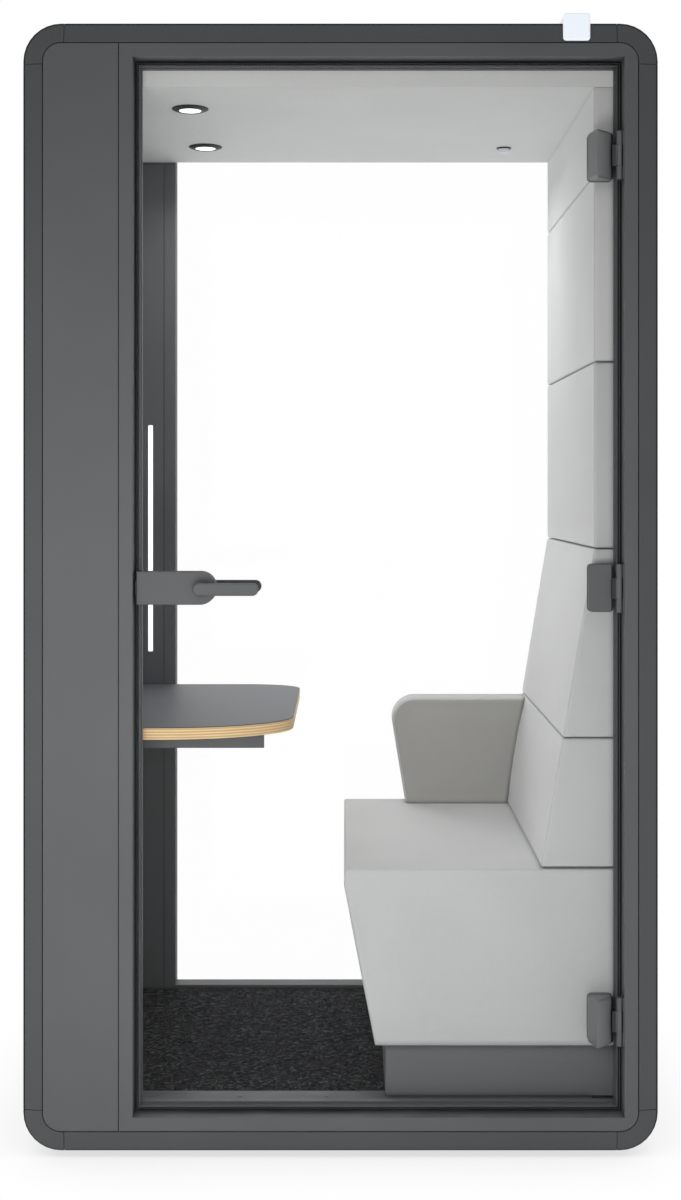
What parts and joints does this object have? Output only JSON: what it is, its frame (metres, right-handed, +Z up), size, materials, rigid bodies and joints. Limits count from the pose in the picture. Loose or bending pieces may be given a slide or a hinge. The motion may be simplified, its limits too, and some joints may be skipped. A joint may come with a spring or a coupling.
{
  "type": "acoustic office pod",
  "caption": "One-person acoustic office pod with a hinged glass door, rear window, upholstered seat and wall pads, fixed table, ceiling lights and a roof fan.",
  "frame": {"origin": "middle of the whole object's outline on the floor", "axes": "+Z up, door faces -Y, hinge side at +X"},
  "size_m": [1.25, 0.935, 2.254],
  "materials": {
    "graphite_paint": "satin fine-textured powder coat",
    "hardware": "dark satin coated steel",
    "sill_metal": "satin anodised",
    "fabric_grey": "light grey woven wool felt",
    "carpet": "dark flecked loop pile",
    "clear_glass": "clear laminated safety glass",
    "seal": "matt black",
    "ply": "birch plywood edge with a grey laminate top",
    "white_plastic": "satin",
    "black_plastic": "satin"
  },
  "bodies": {
    "pod": {"corner_profile_top_left": "graphite_paint", "corner_profile_bottom_left": "graphite_paint", "front_rail_left": "graphite_paint", "rear_rail_left": "graphite_paint", "outer_wall_left": "graphite_paint", "corner_profile_top_right": "graphite_paint", "corner_profile_bottom_right": "graphite_paint", "front_rail_right": "graphite_paint", "rear_rail_right": "graphite_paint", "outer_wall_right": "graphite_paint", "front_rail_top": "graphite_paint", "rear_rail_top": "graphite_paint", "front_rail_bottom": "graphite_paint", "rear_rail_bottom": "graphite_paint", "roof_panel": "graphite_paint", "base_panel": "graphite_paint", "front_side_panel": "graphite_paint", "rear_side_panel": "graphite_paint", "door_frame": "graphite_paint", "rear_window_frame": "graphite_paint", "seat_plinth": "graphite_paint", "table_support": "graphite_paint", "light_strip": "white_plastic", "door_gasket": "seal", "strike_plate": "hardware", "rear_glass": "clear_glass", "threshold": "sill_metal", "carpet": "carpet", "ceiling_panel": "fabric_grey", "left_wall_lining": "fabric_grey", "wall_pad_top": "fabric_grey", "wall_pad_upper": "fabric_grey", "wall_pad_lower": "fabric_grey", "back_pad_upper": "fabric_grey", "back_pad_lower": "fabric_grey", "seat": "fabric_grey", "armrest": "fabric_grey", "table_top": "ply", "downlight_front": "black_plastic", "downlight_rear": "black_plastic", "motion_sensor": "white_plastic", "beacon": "white_plastic", "fan_housing": "black_plastic", "hinge_frame_leaf_bottom": "hardware", "hinge_frame_leaf_middle": "hardware", "hinge_frame_leaf_top": "hardware"},
    "door": {"door_glass": "clear_glass", "hinge_door_leaf_bottom": "hardware", "hinge_door_leaf_middle": "hardware", "hinge_door_leaf_top": "hardware", "lock_plate_outer": "hardware", "lock_plate_inner": "hardware"},
    "lever": {"lever_outer": "hardware", "lever_inner": "hardware"},
    "latch": {"latch_bolt": "hardware"},
    "fan": {"fan_rotor": "black_plastic"},
    "foot_1": {"levelling_foot_1": "hardware"},
    "foot_2": {"levelling_foot_2": "hardware"},
    "foot_3": {"levelling_foot_3": "hardware"},
    "foot_4": {"levelling_foot_4": "hardware"}
  },
  "joints": [
    {"name": "door_hinge", "type": "hinge", "parent": "pod", "child": "door", "pos_m": [0.5495, -0.4245, 1.122], "axis": [0, 0, 1], "range_deg": [0, 105], "stiffness_Nm_per_rad": 10, "springref_deg": -14.32},
    {"name": "lever_turn", "type": "hinge", "parent": "door", "child": "lever", "pos_m": [-0.2755, -0.4185, 1.122], "axis": [0, 1, 0], "range_deg": [0, 40], "stiffness_Nm_per_rad": 1.2, "springref_deg": -34.38},
    {"name": "latch_slide", "type": "slide", "parent": "door", "child": "latch", "axis": [1, 0, 0], "range_m": [0, 0.012]},
    {"name": "fan_spin", "type": "hinge", "parent": "pod", "child": "fan", "pos_m": [-0.4, 0.0175, 2.178], "axis": [0, 0, 1], "continuous": true},
    {"name": "foot_1_turn", "type": "hinge", "parent": "pod", "child": "foot_1", "pos_m": [-0.475, -0.2825, 0], "axis": [0, 0, 1], "continuous": true},
    {"name": "foot_2_turn", "type": "hinge", "parent": "pod", "child": "foot_2", "pos_m": [-0.475, 0.3175, 0], "axis": [0, 0, 1], "continuous": true},
    {"name": "foot_3_turn", "type": "hinge", "parent": "pod", "child": "foot_3", "pos_m": [0.475, -0.2825, 0], "axis": [0, 0, 1], "continuous": true},
    {"name": "foot_4_turn", "type": "hinge", "parent": "pod", "child": "foot_4", "pos_m": [0.475, 0.3175, 0], "axis": [0, 0, 1], "continuous": true}
  ],
  "couplings": [
    {"joint": "latch_slide", "follows": "lever_turn", "m_per_rad": 0.017045}
  ]
}
